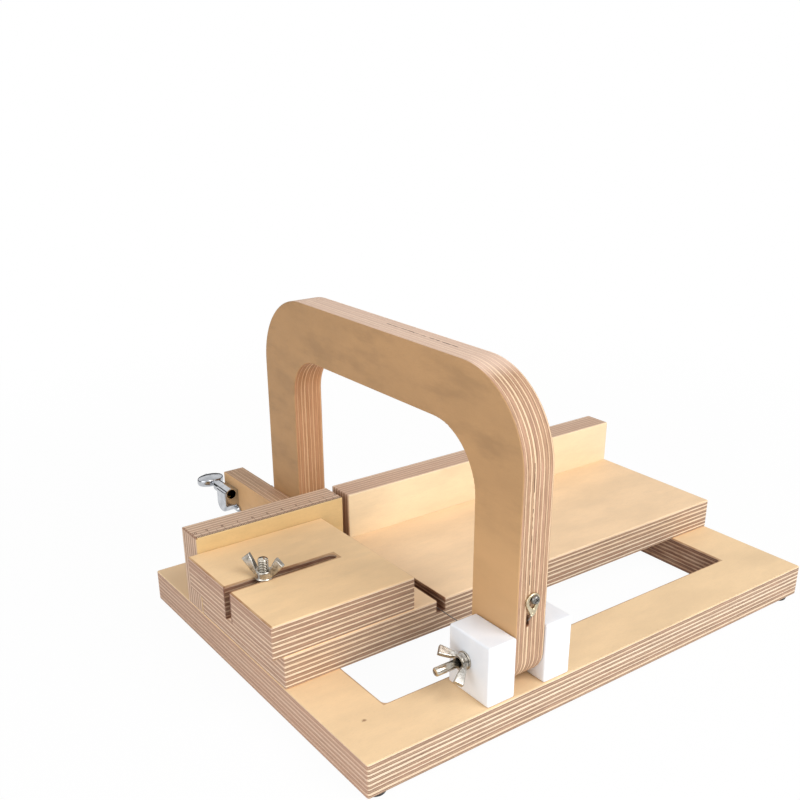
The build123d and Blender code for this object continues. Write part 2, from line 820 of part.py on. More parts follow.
# Worm shaft: the worm in the tube and the shaft out to the button
worm_seat = tube_seat.offset(worm_recess)
button_y = post_y + button_reach
button_front = button_y - button_depth / 2
worm_end = post_y + tube_rear - collar_length - gear_room
with BuildPart() as tuner_worm:
    with BuildSketch(worm_seat):
        Circle(worm_radius)
    extrude(amount=worm_end - worm_seat.origin.Y)
    with BuildSketch(Plane((worm_x, worm_end, worm_z), x_dir=up, z_dir=back)):
        Circle(shaft_radius)
    extrude(amount=button_front + shaft_in_button - worm_end)
tuner_worm.part.label = "tuner_worm"

# Oval button on the shaft, held by a screw from behind
shaft_seat = Plane((worm_x, button_front, worm_z), x_dir=up, z_dir=back)
with BuildPart() as tuner_button:
    with BuildSketch(Plane.XY.offset(worm_z - button_thickness / 2)):
        with Locations((worm_x, button_y)):
            Ellipse(button_length / 2, button_depth / 2)
    extrude(amount=button_thickness)
    fillet(tuner_button.faces().filter_by(Axis.Z).edges(), button_soft)
    with BuildSketch(shaft_seat.offset(-cut_over)):
        Circle(shaft_radius + turn_gap)
    extrude(amount=shaft_in_button + cut_over + turn_gap, mode=Mode.SUBTRACT)
    screw_face = Plane((worm_x, button_y + button_depth / 2, worm_z), x_dir=up, z_dir=-back)
    with BuildSketch(screw_face.offset(-cut_over)):
        Circle(small_screw_radius + turn_gap)
    extrude(amount=button_depth, mode=Mode.SUBTRACT)
tuner_button.part.label = "tuner_button"

with BuildPart() as button_screw:
    with BuildSketch(screw_face):
        Circle(small_screw_radius)
    extrude(amount=button_screw_length)
    with BuildSketch(screw_face):
        Circle(button_screw_radius)
    extrude(amount=-button_screw_head)
button_screw.part.label = "button_screw"

# Wood screws, grouped by what they hold
screw_groups = (
    ("bed_screws", bed_seats, bed_screw_length),
    ("fence_screws", fence_seats, fence_screw_length),
    ("fence_end_screws", fence_end_seats, fence_end_screw_length),
    ("block_screws", block_seats, block_screw_length),
    ("bar_screws", bar_seats, bar_screw_length),
)
screws = []
for name, group, length in screw_groups:
    with BuildPart() as screw_group:
        for seat in group:
            add(wood_screw(seat, length))
    screw_group.part.label = name
    screws.append(screw_group.part)

# Rubber feet, each with a recessed screw
with BuildPart() as rubber_feet:
    for seat in foot_seats:
        rest = seat.offset(-foot_recess)
        with BuildSketch(rest):
            Circle(foot_radius - foot_taper)
        with BuildSketch(rest.offset(foot_height)):
            Circle(foot_radius)
        loft()
        with BuildSketch(rest):
            Circle(foot_recess_radius)
        extrude(amount=foot_recess, mode=Mode.SUBTRACT)
        with BuildSketch(rest):
            Circle(shank_radius + screw_gap)
        extrude(amount=foot_height, mode=Mode.SUBTRACT)
rubber_feet.part.label = "rubber_feet"

with BuildPart() as foot_screws:
    for seat in foot_seats:
        with BuildSketch(side_of(seat)):
            with BuildLine():
                Polyline(
                    (0, -foot_screw_head),
                    (foot_screw_head_radius / 2, -foot_screw_head),
                    (foot_screw_head_radius, 0),
                    (shank_radius, 0),
                    (shank_radius, foot_screw_length - point_length),
                    (0, foot_screw_length),
                    close=True,
                )
            make_face()
        revolve(axis=Axis(seat.origin, seat.z_dir))
foot_screws.part.label = "foot_screws"

pieces = [
    base_board.part,
    bed_board.part,
    ruler_fence.part,
    back_fence.part,
    stop_block.part,
    stop_bolt,
    stop_wing_nut,
    *pivot_blocks,
    pivot_bolt,
    pivot_washer.part,
    pivot_wing_nut,
    cutting_wire.part,
    anchor_ring.part,
    anchor_screw.part,
    arch.part,
    tuner_bar.part,
    tuner_housing.part,
    tuner_screw.part,
    tuner_washer.part,
    tuner_bush.part,
    tuner_post.part,
    tuner_gear.part,
    tuner_worm.part,
    tuner_button.part,
    button_screw.part,
    *screws,
    rubber_feet.part,
    foot_screws.part,
]
for piece in pieces:
    export_step(piece, f"parts/{piece.label}.step")
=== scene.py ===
import math

import bmesh
import bpy
from mathutils import Matrix, Vector


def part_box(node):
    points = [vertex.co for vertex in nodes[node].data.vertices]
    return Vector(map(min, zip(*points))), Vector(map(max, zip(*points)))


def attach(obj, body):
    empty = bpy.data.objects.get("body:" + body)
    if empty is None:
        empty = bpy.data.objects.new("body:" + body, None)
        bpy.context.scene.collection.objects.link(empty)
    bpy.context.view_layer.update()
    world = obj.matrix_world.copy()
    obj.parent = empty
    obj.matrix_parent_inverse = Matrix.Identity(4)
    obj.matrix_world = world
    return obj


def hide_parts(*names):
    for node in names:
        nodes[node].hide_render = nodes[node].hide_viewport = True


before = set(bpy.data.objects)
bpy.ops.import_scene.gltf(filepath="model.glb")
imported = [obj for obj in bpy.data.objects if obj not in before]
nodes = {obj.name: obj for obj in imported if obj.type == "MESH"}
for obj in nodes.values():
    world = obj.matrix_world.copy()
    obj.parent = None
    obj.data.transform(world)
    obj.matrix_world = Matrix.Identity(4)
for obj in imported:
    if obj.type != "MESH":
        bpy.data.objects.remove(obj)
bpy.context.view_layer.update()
print("frame loaded, nodes:", len(nodes))

white = (1, 1, 1, 1)


def tone(red, green, blue):
    # A colour as it looks on a screen, 0 to 255, turned into what a socket takes
    seen = [part / 255 for part in (red, green, blue)]
    return (*[((part + 0.055) / 1.055) ** 2.4 if part > 0.04 else part / 12.92 for part in seen], 1)


def shaded(colour, part):
    return tone(*[min(255, value * part) for value in colour])


def circle(count):
    # The cosine and sine of each step round a circle
    angles = [2 * math.pi * step / count for step in range(count)]
    return [(math.cos(angle), math.sin(angle)) for angle in angles]


class Port:
    # One socket of a node tree. Sums on it add the nodes that work them out.
    def __init__(self, tree, socket=None):
        self.tree = tree
        self.socket = socket

    def node(self, kind, settings=None, sockets=None, out=0):
        made = self.tree.nodes.new("ShaderNode" + kind)
        for name, value in (settings or {}).items():
            setattr(made, name, value)
        for name, value in (sockets or {}).items():
            if isinstance(value, Port):
                self.tree.links.new(value.socket, made.inputs[name])
            else:
                made.inputs[name].default_value = value
        return Port(self.tree, made.outputs[out]) if made.outputs else None

    def also(self, out):
        return Port(self.tree, self.socket.node.outputs[out])

    def sum(self, operation, *values):
        kinds = [value.socket.type for value in values if isinstance(value, Port)]
        if "RGBA" in kinds:
            sockets = {0: 1, 6: values[0], 7: values[1]}
            return self.node("Mix", {"data_type": "RGBA", "blend_type": operation}, sockets, 2)
        if "VECTOR" in kinds:
            plain = [value if isinstance(value, (Port, tuple)) else (value,) * 3 for value in values]
            return self.node("VectorMath", {"operation": operation}, dict(enumerate(plain)))
        return self.node("Math", {"operation": operation}, dict(enumerate(values)))

    def __add__(self, other):
        return self.sum("ADD", self, other)

    def __sub__(self, other):
        return self.sum("SUBTRACT", self, other)

    def __rsub__(self, other):
        return self.sum("SUBTRACT", other, self)

    def __mul__(self, other):
        return self.sum("MULTIPLY", self, other)

    def __truediv__(self, other):
        return self.sum("DIVIDE", self, other)

    def __abs__(self):
        return self.sum("ABSOLUTE", self)

    def floor(self):
        return self.sum("FLOOR", self)

    def biggest(self, other):
        return self.sum("MAXIMUM", self, other)

    def axes(self):
        # The x of a place; also(1) and also(2) give its y and z
        return self.node("SeparateXYZ", {}, {0: self})

    def away(self, spot):
        # How far a place is from the spot
        return self.node("VectorMath", {"operation": "DISTANCE"}, {0: self, 1: spot}, 1)

    def rise(self, low, high):
        # 0 below low, 1 above high, smooth between them
        sockets = {"Value": self, "From Min": low, "From Max": high}
        return self.node("MapRange", {"interpolation_type": "SMOOTHSTEP"}, sockets)

    def between(self, first, second):
        # The colour first where this is 0 and second where it is 1
        return self.node("Mix", {"data_type": "RGBA"}, {0: self, 6: first, 7: second}, 2)

    def cloud(self, stretch, detail, rough, shift):
        # Soft noise over a place, about 0.5 in the middle
        spot = self * tuple(stretch) + (shift, shift * 0.7, shift * 1.3)
        return self.node("TexNoise", {}, {"Vector": spot, "Scale": 1, "Detail": detail, "Roughness": rough})

    def draw(self, out=0):
        # A random draw for each whole number, the same each run; output 1 has three draws as a colour
        return self.node("TexWhiteNoise", {"noise_dimensions": "1D"}, {"W": self}, out)


def emptied(holder):
    # Clears the node tree of a material or a world and gives a port on it
    holder.use_nodes = True
    holder.node_tree.nodes.clear()
    return Port(holder.node_tree)


def startFinish(name):
    # A new material, and the place on the object in millimetres
    material = bpy.data.materials.new(name)
    return material, emptied(material).node("TexCoord", out=3) * 1000


def endFinish(place, sockets, height=None, depth=0):
    # depth is how far the bump stands out, in millimetres
    if height is not None:
        sockets["Normal"] = place.node("Bump", {}, {"Distance": depth / 1000, "Height": height})
    shader = place.node("BsdfPrincipled", {}, sockets)
    place.node("OutputMaterial", {}, {0: shader})


# The floor, the air, the lamps and a dark band that only metal mirrors; lengths are in metres
studio = {
    "air": 0.45,
    "floorTone": (243, 243, 243),
    "floorGlow": (0.965, 1),
    "glowReach": (0.25, 0.75),
    "floorSize": 8,
    "lamps": {
        "softbox": {"watts": 12, "size": 0.9, "way": (0.15, -0.72, 0.62), "reach": 1.3},
        "sideCard": {"watts": 2.2, "size": 0.6, "way": (-0.9, -0.3, 0.3), "reach": 0.9},
    },
    "band": {"radius": 1.5, "low": 0.01, "high": 0.5, "shade": 0.05, "sides": 64},
}


def seenWhite(port):
    # 1 for what the camera sees straight, in metal or through glass
    rays = port.node("LightPath")
    return rays.biggest(rays.also(3).biggest(rays.also(6)))


def setUpAir():
    world = bpy.data.worlds.new("air")
    port = emptied(world)
    strength = seenWhite(port) * (1 - studio["air"]) + studio["air"]
    sky = port.node("Background", {}, {0: white, 1: strength})
    port.node("OutputWorld", {}, {0: sky})
    bpy.context.scene.world = world


def plainObject(name, corners, faces, material):
    mesh = bpy.data.meshes.new(name)
    mesh.from_pydata(corners, [], faces)
    mesh.materials.append(material)
    made = bpy.data.objects.new(name, mesh)
    bpy.context.scene.collection.objects.link(made)
    return made


def addFloor():
    material = bpy.data.materials.new("floorPaper")
    port = emptied(material)
    paper = port.node("BsdfDiffuse", {}, {0: tone(*studio["floorTone"])})
    glow = port.node("Emission", {}, {0: white, 1: 1})
    spot = port.node("TexCoord", out=3)
    far = port.node("VectorMath", {"operation": "LENGTH"}, {0: spot}, 1).rise(*studio["glowReach"])
    low, high = studio["floorGlow"]
    share = seenWhite(port) * (far * (high - low) + low)
    both = port.node("MixShader", {}, {0: share, 1: paper, 2: glow})
    port.node("OutputMaterial", {}, {0: both})
    half = studio["floorSize"] / 2
    corners = [(-half, -half, 0), (half, -half, 0), (half, half, 0), (-half, half, 0)]
    floor = plainObject("floor", corners, [(0, 1, 2, 3)], material)


def addLamps():
    for name, values in studio["lamps"].items():
        lamp = bpy.data.lights.new(name, "AREA")
        lamp.energy = values["watts"]
        lamp.size = values["size"]
        way = Vector(values["way"]).normalized()
        holder = bpy.data.objects.new(name, lamp)
        holder.location = way * values["reach"]
        holder.rotation_mode = "QUATERNION"
        holder.rotation_quaternion = (-way).to_track_quat("-Z", "Y")
        bpy.context.scene.collection.objects.link(holder)


def addDarkBand():
    band = studio["band"]
    radius, sides = band["radius"], band["sides"]
    material = bpy.data.materials.new("darkBand")
    port = emptied(material)
    dark = port.node("Emission", {}, {0: white, 1: band["shade"]})
    port.node("OutputMaterial", {}, {0: dark})
    levels = (band["low"], band["high"])
    corners = [(radius * x, radius * y, level) for level in levels for x, y in circle(sides)]
    faces = [(spot, (spot + 1) % sides, sides + (spot + 1) % sides, sides + spot) for spot in range(sides)]
    ring = plainObject("darkBand", corners, faces, material)
    for ray in ("camera", "diffuse", "transmission", "volume_scatter", "shadow"):
        setattr(ring, "visible_" + ray, False)


def setUpStudio():
    bpy.context.scene.view_settings.view_transform = "Standard"
    setUpAir()
    addFloor()
    addLamps()
    addDarkBand()


# The camera, where the photograph was taken from
lens = {
    "place": (-0.371600, -0.467845, 0.321969),
    "turn": 35.815,
    "tilt": 23.719,
    "roll": 0.285,
    "length": 44.796,
    "sensor": 36,
    "rise": 0.125,
    "nearest": 0.01,
}


def setUpCamera():
    turn, tilt, roll = [math.radians(lens[name]) for name in ("turn", "tilt", "roll")]
    ahead = Vector((math.sin(turn) * math.cos(tilt), math.cos(turn) * math.cos(tilt), -math.sin(tilt)))
    flat = Vector((math.cos(turn), -math.sin(turn), 0))
    down = ahead.cross(flat)
    across = flat * math.cos(roll) + down * math.sin(roll)
    upward = flat * math.sin(roll) - down * math.cos(roll)
    aim = Matrix((across, upward, -ahead)).transposed().to_4x4()
    camera = bpy.data.objects.new("camera", bpy.data.cameras.new("camera"))
    camera.matrix_world = Matrix.Translation(lens["place"]) @ aim
    camera.data.lens = lens["length"]
    camera.data.sensor_width = lens["sensor"]
    camera.data.shift_y = lens["rise"]
    camera.data.clip_start = lens["nearest"]
    bpy.context.scene.collection.objects.link(camera)
    bpy.context.scene.camera = camera


setUpStudio()
setUpCamera()
print("studio and camera set up")

# Birch plywood, with its lengths in millimetres. wander and tremble bend the plies, jitter shifts each light
# ply, and edge, glueLine and seam are the soft limits of what is drawn there.
birch = {
    "veneer": 0.5,
    "faceShades": (1, 0.9, 1.045),
    "glueTone": (128, 88, 60),
    "burnTone": (150, 104, 76),
    "charTone": (70, 42, 28),
    "rough": 0.55,
    "shine": 0.35,
    "relief": 0.12,
    "wander": 0.6,
    "tremble": 0.35,
    "jitter": 0.6,
    "edge": (-0.08, 0.1),
    "glueMiddle": 0.12,
    "glueLine": (0.03, 0.16),
    "seam": (0.06, 0.26),
}
# The tones of the plies' edges; half is the least half width of a light ply and what it varies by
palettes = {
    "pale": {
        "cream": (246, 226, 200),
        "creamDeep": (232, 204, 172),
        "brown": (184, 152, 127),
        "brownDeep": (152, 121, 100),
        "red": (190, 149, 125),
        "half": (0.36, 0.36),
    },
    "warm": {
        "cream": (236, 207, 172),
        "creamDeep": (222, 187, 150),
        "brown": (199, 160, 129),
        "brownDeep": (154, 117, 90),
        "red": (208, 162, 138),
        "half": (0.2, 0.38),
    },
}
# The plies near each board's left end are drawn duller than the long edges
endWash = {"tone": (194, 150, 126), "part": 0.36, "parts": {"base_board": 0.52}, "reach": (0.2, 0.5)}
# The sanded tops are calmer than the sides, and the arch's top is also drawn paler, which is painted light
# on its upward face; deep is how far down that reaches
topWash = {
    "arch": {"tone": (250, 220, 200), "part": 0.55, "deep": 6},
    "ruler_fence": {"tone": (222, 186, 160), "part": 0.4, "deep": 0.5},
    "back_fence": {"tone": (220, 182, 156), "part": 0.55, "deep": 0.5},
    "tuner_bar": {"tone": (222, 184, 150), "part": 0.4, "deep": 0.5},
}
# Each board's stack is the way its plies are stacked and grain is the way its face grain runs, 0, 1 or 2 for
# x, y or z
boards = {
    "base_board": {
        "stack": 2, "firstPly": 2.5, "grain": 0, "seed": 3, "step": 2.84,
        "face": (235, 204, 162), "figure": 0.22, "palette": "pale",
    },
    "bed_board": {
        "stack": 2, "firstPly": 2.2, "grain": 0, "seed": 11, "step": 2.84,
        "face": (241, 209, 170), "figure": 0.22, "palette": "pale",
    },
    "stop_block": {
        "stack": 2, "firstPly": 2.1, "grain": 0, "seed": 23, "step": 2.88,
        "face": (240, 206, 160), "figure": 0.3, "palette": "pale",
    },
    "ruler_fence": {
        "stack": 1, "firstPly": 1.2, "grain": 0, "seed": 31, "step": 2.84,
        "face": (220, 189, 136), "figure": 0.35, "palette": "pale",
    },
    "back_fence": {
        "stack": 1, "firstPly": 1.2, "grain": 0, "seed": 37, "step": 2.84,
        "face": (242, 219, 182), "figure": 0.35, "palette": "pale",
    },
    "arch": {
        "stack": 0, "firstPly": 2.2, "grain": 1, "seed": 41, "step": 2.84,
        "face": (189, 148, 104), "figure": 0.8, "palette": "warm",
    },
    "tuner_bar": {
        "stack": 0, "firstPly": 2.0, "grain": 1, "seed": 53, "step": 2.8,
        "face": (224, 180, 130), "figure": 0.5, "palette": "warm",
    },
}
# What sets a board apart, in millimetres. A knot is a middle and a size, a split a middle and three half
# widths, a burn a box and a strength, a patch of painted light on the face a box, a tone and a part, and a
# wash of the plies those and a softness; the arch's wash is painted warm shade.
marks = {
    "base_board": {
        "knots": [(-147.5, -125.9, 23, 2.2)],
        # Painted light over the base's top towards the rear left
        "paintedLight": [(-260, -10, -100, -110, 260, 150, (255, 222, 180), 1)],
        "burns": [(-132.3, -121.1, 0, 138.5, 56.7, 24, 0.8)],
    },
    "stop_block": {
        "knots": [(-172.1, -6.9, 59.8, 1.2), (-172.1, -12, 59.4, 0.8)],
        "burns": [
            (-180, -35.8, 40, -101.2, -27.2, 64, 0.85),
            (-173, -82, 62.2, -171.2, 20, 63.5, 0.8),
        ],
        "washes": [(-173, -80, 58.6, -171.6, 30, 61.6, (150, 108, 84), 0.55, 0.1)],
    },
    "ruler_fence": {"burns": [(-167, 10, 71.8, -165, 45, 73, 0.8)]},
    "bed_board": {"burns": [(-67.0, -82, 35.2, -60.2, 19, 44, 0.9)]},
    "arch": {
        "splits": [
            (-61.5, -39, 191, 0.45, 12, 1.2),
            (-61.7, -71, 191, 0.5, 20, 1.2),
            (-66.4, -153.8, 116, 0.25, 3, 34),
        ],
        "burns": [(-67.3, -156, 61.4, -65.3, -148, 69.4, 1)],
        # Painted warm shade on the plies of the arch's rear leg
        "washes": [(-100, 40, 30, -30, 68, 150, (205, 140, 84), 0.45, 12)],
        # Painted light on the arch's face, paler low down at the front leg
        "paintedLight": [(-80, -260, -60, -40, -100, 100, (222, 178, 128), 1)],
    },
}
markSoftness = {"paintedLight": 45, "splits": 0.12, "burns": 0.25}
# The wood's noises: the stretch along the grain, across it and through the plies, the detail, the roughness
# and what is added to the board's seed
woodNoise = {
    "slow": ((0.03, 0.03, 0.15), 2, 0.5, 0),
    "quick": ((0.35, 0.35, 0.6), 3, 0.7, 7),
    "streaks": ((0.22, 0.22, 2.6), 4, 0.65, 13),
    "pores": ((1.6, 1.6, 3.5), 3, 0.7, 17),
    "patches": ((0.05, 0.05, 0.4), 2, 0.5, 19),
    "broad": ((0.02, 0.045, 0), 3, 0.6, 23),
    "flame": ((0.025, 0.075, 0), 4, 0.6, 29),
    "fine": ((0.25, 3.2, 0), 3, 0.6, 31),
    "specks": ((0.7, 1.3, 0), 3, 0.7, 47),
    "fibres": ((0.05, 0.05, 1.8), 3, 0.65, 53),
}
# The marks' noises, with the stretch along x, y and z
markNoise = {
    "knots": ((0.8, 0.8, 0.8), 2, 0.5, 37),
    "splits": ((0.5, 0.16, 0.16), 3, 0.6, 41),
    "burns": ((0.06, 0.06, 0.3), 3, 0.6, 43),
}


def boxMask(place, low, high, soft):
    # 1 inside a box of millimetres
    centre = tuple((a + b) / 2 for a, b in zip(low, high))
    half = tuple((b - a) / 2 for a, b in zip(low, high))
    out = (abs(place - centre) - half).axes()
    return 1 - out.biggest(out.also(1)).biggest(out.also(2)).rise(-soft, soft)


def woodClouds(place, board):
    # A board's noises, turned to its grain and its stack
    stack, grain = board["stack"], board["grain"]
    clouds = {}
    for name, (spans, detail, rough, shift) in woodNoise.items():
        stretch = [0, 0, 0]
        stretch[grain], stretch[3 - stack - grain], stretch[stack] = spans
        clouds[name] = place.cloud(stretch, detail, rough, board["seed"] + shift)
    return clouds


def plyEdges(across, low, board, clouds):
    # The colour of the plies' edges, and 1 where a ply is light
    seed, step = board["seed"], board["step"]
    slow, quick = clouds["slow"] - 0.5, clouds["quick"] - 0.5
    phase = across - (low + board["firstPly"])
    phase = (phase + slow * birch["wander"] + quick * birch["tremble"]) / step
    # Each light ply has a width, a place and a tone of its own
    palette = palettes[board["palette"]]
    least, spread = palette["half"]
    ply = (phase + 0.5).floor()
    draws = (ply + seed).draw(1)
    draws = draws.node("SeparateColor", {}, {0: draws})
    shift = (draws.also(1) - 0.5) * birch["jitter"]
    outside = abs((phase - ply) * step - shift) - (draws * spread + least)
    light = 1 - outside.rise(*birch["edge"])
    glue = 1 - abs(outside - birch["glueMiddle"]).rise(*birch["glueLine"])
    bandDraw = (phase.floor() + seed).draw()
    fromMiddle = abs(abs(phase - ply) - 0.5) * step
    seam = (1 - fromMiddle.rise(*birch["seam"])) * bandDraw.rise(0.35, 0.6)

    streaks, pores, patches, fibres = [clouds[name] for name in ("streaks", "pores", "patches", "fibres")]
    tones = {part: tone(*palette[part]) for part in ("cream", "creamDeep", "brown", "brownDeep", "red")}
    brown = streaks.rise(0.3, 0.7) * 0.5 + bandDraw * 0.5
    brown = brown.between(tones["brown"], tones["brownDeep"])
    brown = (patches.rise(0.45, 0.75) * 0.6).between(brown, tones["red"])
    brown = (pores.rise(0.55, 0.75) * 0.35).between(brown, tones["brownDeep"])
    brown = (seam * 0.45).between(brown, tones["creamDeep"])
    brown = (fibres.rise(0.5, 0.62) * 0.5).between(brown, shaded(palette["brownDeep"], 0.8))
    cream = streaks.rise(0.35, 0.75) * 0.5 + draws.also(2) * 0.5
    cream = cream.between(tones["cream"], tones["creamDeep"])
    cream = (fibres.rise(0.5, 0.65) * 0.45).between(cream, tones["brown"])
    plies = light.between(brown, cream)
    glueAmount = glue * (pores.rise(0.35, 0.65) * 0.5 + patches.rise(0.3, 0.6) * 0.35 + 0.1)
    return glueAmount.between(plies, tone(*birch["glueTone"])), light


def wornEdges(plies, name, place, low, high, marked):
    # Washes, the sanded top and the left end; the arch's wash is painted shade, its top partly painted light
    axes = place.axes()
    for *box, washTone, part, soft in marked.get("washes", []):
        plies = (boxMask(place, box[:3], box[3:], soft) * part).between(plies, tone(*washTone))
    if name in topWash:
        wash, top = topWash[name], high[2]
        # Partly painted light: the arch's top is also drawn paler
        sandedAndPaintedLight = axes.also(2).rise(top - wash["deep"], top - wash["deep"] * 0.2)
        plies = (sandedAndPaintedLight * wash["part"]).between(plies, tone(*wash["tone"]))
    if boards[name]["stack"]:
        leftEnd = 1 - axes.rise(*[low[0] + reach for reach in endWash["reach"]])
        part = endWash["parts"].get(name, endWash["part"])
        plies = (leftEnd * part).between(plies, tone(*endWash["tone"]))
    return plies


def veneerFace(place, board, clouds, marked):
    middle, deep, pale = [shaded(board["face"], part) for part in birch["faceShades"]]
    face = clouds["broad"].rise(0.3, 0.7).between(middle, pale)
    face = (clouds["flame"].rise(0.42, 0.75) * board["figure"]).between(face, deep)
    face = (clouds["fine"].rise(0.45, 0.75) * 0.2).between(face, deep)
    face = (clouds["specks"].rise(0.5, 0.8) * 0.3).between(face, deep)
    # Painted light: patches of the face drawn paler, as if lit more
    for *box, paintedLightTone, part in marked.get("paintedLight", []):
        inside = boxMask(place, box[:3], box[3:], markSoftness["paintedLight"])
        face = (inside * part).between(face, tone(*paintedLightTone))
    return face


def addMarks(colour, place, board, clouds, marked):
    # Knots, splits and burns, over the plies and the face alike
    noise = {}
    for kind, (stretch, detail, rough, shift) in markNoise.items():
        if kind in marked:
            noise[kind] = place.cloud(stretch, detail, rough, board["seed"] + shift)
    for x, y, z, size in marked.get("knots", []):
        knot = 1 - (place.away((x, y, z)) + noise["knots"] * size).rise(size * 0.5, size * 1.3)
        colour = (knot * 0.8).between(colour, tone(*birch["glueTone"]))
    for x, y, z, halfX, halfY, halfZ in marked.get("splits", []):
        wander = (clouds["slow"] - 0.5) * 1.2
        spot = place + place.node("CombineXYZ", {}, {board["stack"]: wander})
        low, high = (x - halfX, y - halfY, z - halfZ), (x + halfX, y + halfY, z + halfZ)
        ragged = boxMask(spot, low, high, markSoftness["splits"]) * noise["splits"].rise(0.42, 0.55)
        colour = (ragged * 0.85).between(colour, tone(*birch["charTone"]))
    for *box, strength in marked.get("burns", []):
        inside = boxMask(place, box[:3], box[3:], markSoftness["burns"])
        uneven = noise["burns"].rise(0.25, 0.75) * 0.5 + 0.5
        colour = (inside * strength * uneven).between(colour, colour * tone(*birch["burnTone"]))
    return colour


def plywoodFinish(name, board, marked):
    material, place = startFinish("plywood_" + name)
    low, high = [[value * 1000 for value in corner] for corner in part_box(name)]
    stack = board["stack"]
    across = place.axes().also(stack)
    clouds = woodClouds(place, board)
    plies, light = plyEdges(across, low[stack], board, clouds)
    plies = wornEdges(plies, name, place, low, high, marked)
    # The face veneer, seen on the two faces and as a thin line at their edges
    fromFace = (high[stack] - low[stack]) / 2 - abs(across - (low[stack] + high[stack]) / 2)
    isFace = 1 - fromFace.rise(birch["veneer"] * 0.7, birch["veneer"])
    colour = isFace.between(plies, veneerFace(place, board, clouds, marked))
    height = isFace.between(light * 0.5 + clouds["pores"] * 0.4, clouds["fine"] * 0.25)
    endFinish(place, {
        "Base Color": addMarks(colour, place, board, clouds, marked),
        "Roughness": clouds["streaks"] * 0.2 + (birch["rough"] - 0.1),
        "Specular IOR Level": birch["shine"],
    }, height, birch["relief"])
    return material


# Metals; spread is how much the roughness varies, grainSize sets the mottling and depth is its bump
metals = {
    "zinc": {
        "pale": (205, 198, 186), "deep": (138, 128, 112),
        "rough": 0.2, "spread": 0.16, "grainSize": 0.9, "depth": 0.02,
    },
    "castZinc": {
        "pale": (214, 210, 202), "deep": (120, 112, 100),
        "rough": 0.2, "spread": 0.16, "grainSize": 0.6, "depth": 0.04,
    },
    "threadZinc": {
        "pale": (216, 210, 198), "deep": (158, 148, 132),
        "rough": 0.16, "spread": 0.1, "grainSize": 0.5, "depth": 0.006,
    },
    "paleNickel": {
        "pale": (226, 214, 186), "deep": (188, 172, 140),
        "rough": 0.3, "spread": 0.15, "grainSize": 0.8, "depth": 0.03,
    },
    "darkSteel": {
        "pale": (150, 148, 144), "deep": (84, 80, 76),
        "rough": 0.22, "spread": 0.15, "grainSize": 1.2, "depth": 0.03,
    },
    "chrome": {
        "pale": (204, 206, 210), "deep": (160, 163, 168),
        "rough": 0.08, "spread": 0.07, "grainSize": 0.3, "depth": 0.012,
    },
    "wireSteel": {
        "pale": (150, 148, 145), "deep": (92, 90, 88),
        "rough": 0.3, "spread": 0.15, "grainSize": 2.5, "depth": 0.01,
    },
    "brass": {
        "pale": (214, 180, 110), "deep": (168, 132, 70),
        "rough": 0.25, "spread": 0.15, "grainSize": 0.8, "depth": 0.02,
    },
}
# Painted shade in hollows, each round an axis: the mouth of the machine head's tube and the stop bolt's
# thread valleys. radius and until are where the painted shade fades, away from the axis and along it.
paintedShadeTone = (20, 15, 12)
paintedHollowShades = {
    "tubeMouth": {
        "axis": 1, "middle": (-94.425, 0, 47.4),
        "radius": (3.31, 3.41), "until": (121.4, 121.8), "part": 1,
    },
    "boltThread": {
        "axis": 2, "middle": (-149.175, -31.475, 0),
        "radius": (2.57, 2.84), "until": (73.8, 74), "part": 0.85,
    },
}


def hollowMask(place, hollow):
    # 1 where a hollow's painted shade falls
    axis = hollow["axis"]
    flattened = place * tuple(0 if side == axis else 1 for side in range(3))
    near = 1 - flattened.away(hollow["middle"]).rise(*hollow["radius"])
    return near * (1 - place.axes().also(axis).rise(*hollow["until"])) * hollow["part"]


def metalFinish(name, hollow=None):
    metal = metals[name]
    material, place = startFinish(name)
    size = metal["grainSize"]
    mottle = place.cloud((size, size, size), 4, 0.6, 5)
    wear = place.cloud((size * 0.25,) * 3, 2, 0.5, 9)
    share = mottle.rise(0.35, 0.7) * 0.5 + wear.rise(0.4, 0.7) * 0.5
    colour = share.between(tone(*metal["pale"]), tone(*metal["deep"]))
    # Painted shade: the hollows are drawn near black
    if hollow:
        colour = hollowMask(place, paintedHollowShades[hollow]).between(colour, tone(*paintedShadeTone))
    endFinish(place, {
        "Base Color": colour,
        "Metallic": 1,
        "Roughness": mottle * metal["spread"] + metal["rough"],
    }, mottle, metal["depth"])
    return material


plastic = {
    "pale": (243, 246, 252), "deep": (237, 241, 248), "rough": 0.42, "depth": 0.012,
    "glow": 0.15, "glowReach": 0.004,
}


def plasticFinish():
    material, place = startFinish("whitePlastic")
    soft = place.cloud((0.08, 0.08, 0.08), 3, 0.5, 2)
    mill = place.cloud((0.25, 0.25, 6), 3, 0.6, 6)
    endFinish(place, {
        "Base Color": soft.rise(0.3, 0.7).between(tone(*plastic["pale"]), tone(*plastic["deep"])),
        "Roughness": mill * 0.15 + plastic["rough"] - 0.07,
        "Subsurface Weight": plastic["glow"],
        "Subsurface Radius": (plastic["glowReach"],) * 3,
        "Subsurface Scale": 1,
    }, mill, plastic["depth"])
    return material


rubber = {"pale": (52, 52, 54), "deep": (30, 30, 32), "rough": 0.7, "depth": 0.08}


def rubberFinish():
    material, place = startFinish("rubber")
    specks = place.cloud((1.5, 1.5, 1.5), 4, 0.7, 4)
    endFinish(place, {
        "Base Color": specks.rise(0.3, 0.7).between(tone(*rubber["deep"]), tone(*rubber["pale"])),
        "Roughness": specks * 0.2 + rubber["rough"] - 0.1,
    }, specks, rubber["depth"])
    return material


def dress(node, finish):
    # A CAD node keeps its shape and takes a finish
    mesh = nodes[node].data
    if not mesh.materials:
        mesh.materials.append(finish)
    for place in range(len(mesh.materials)):
        mesh.materials[place] = finish


